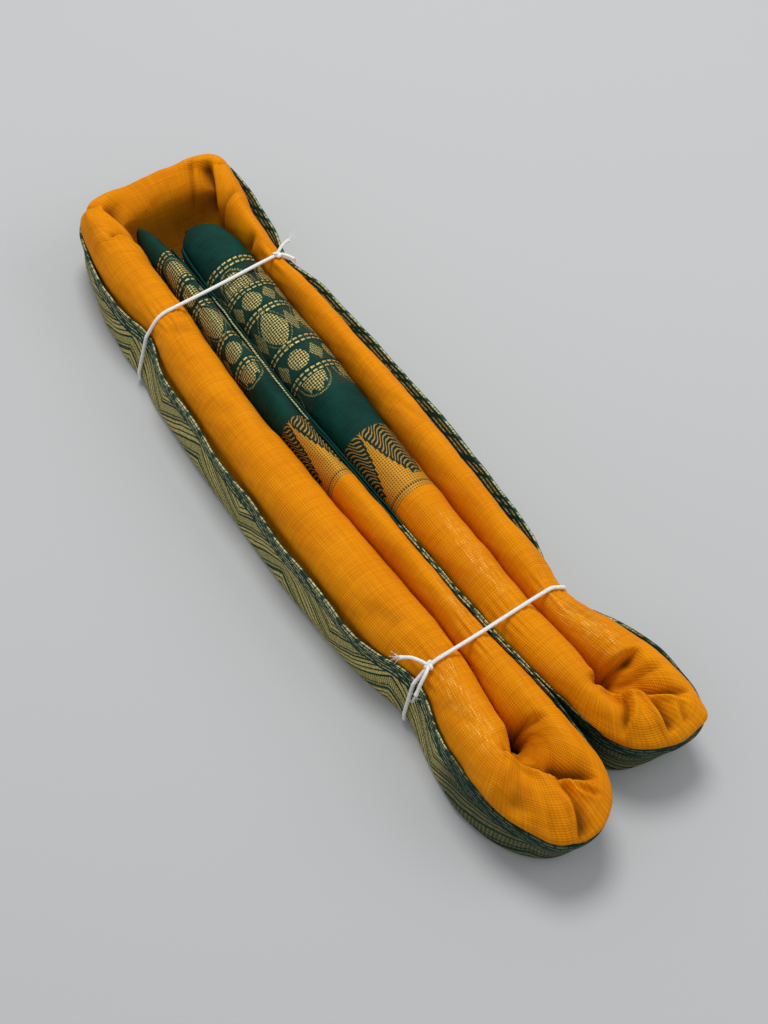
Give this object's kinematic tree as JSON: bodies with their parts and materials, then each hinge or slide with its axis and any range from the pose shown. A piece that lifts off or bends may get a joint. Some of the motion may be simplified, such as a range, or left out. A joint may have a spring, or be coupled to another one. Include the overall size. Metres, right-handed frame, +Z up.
{
  "type": "folded cotton saree",
  "caption": "Cotton saree folded into a long bundle with soft mustard rolls, woven green and gold border walls and end pieces, held by twine ties.",
  "frame": {"origin": "on the surface that the bundle rests on, under the middle of its bounding box", "axes": "+Z up, +Y along the bundle towards its single wide far bend, +X across it to the right"},
  "size_m": [0.1116, 0.4234, 0.0444],
  "materials": {
    "mustard cotton": "plain woven cotton with a soft sheen, fine slubs and gold glints",
    "green and gold end cloth": "dark green cotton with woven gold rows",
    "green and gold border": "dark green cotton with woven gold lattice and stripes",
    "white twine": "twisted cotton twine, matt"
  },
  "bodies": {
    "root": {"field_left_outer": "mustard cotton", "field_right_outer": "mustard cotton", "field_far_bend": "mustard cotton", "field_near_left_bend": "mustard cotton", "field_near_right_bend": "mustard cotton", "field_left_inner": "mustard cotton", "field_right_inner": "mustard cotton", "pallu_left": "green and gold end cloth", "pallu_right": "green and gold end cloth", "border_left": "green and gold border", "border_right": "green and gold border", "border_far": "green and gold border", "border_near_left": "green and gold border", "border_near_right": "green and gold border", "border_middle_left": "green and gold border", "border_middle_right": "green and gold border", "tie_far": "white twine", "tie_near": "white twine"}
  },
  "joints": []
}
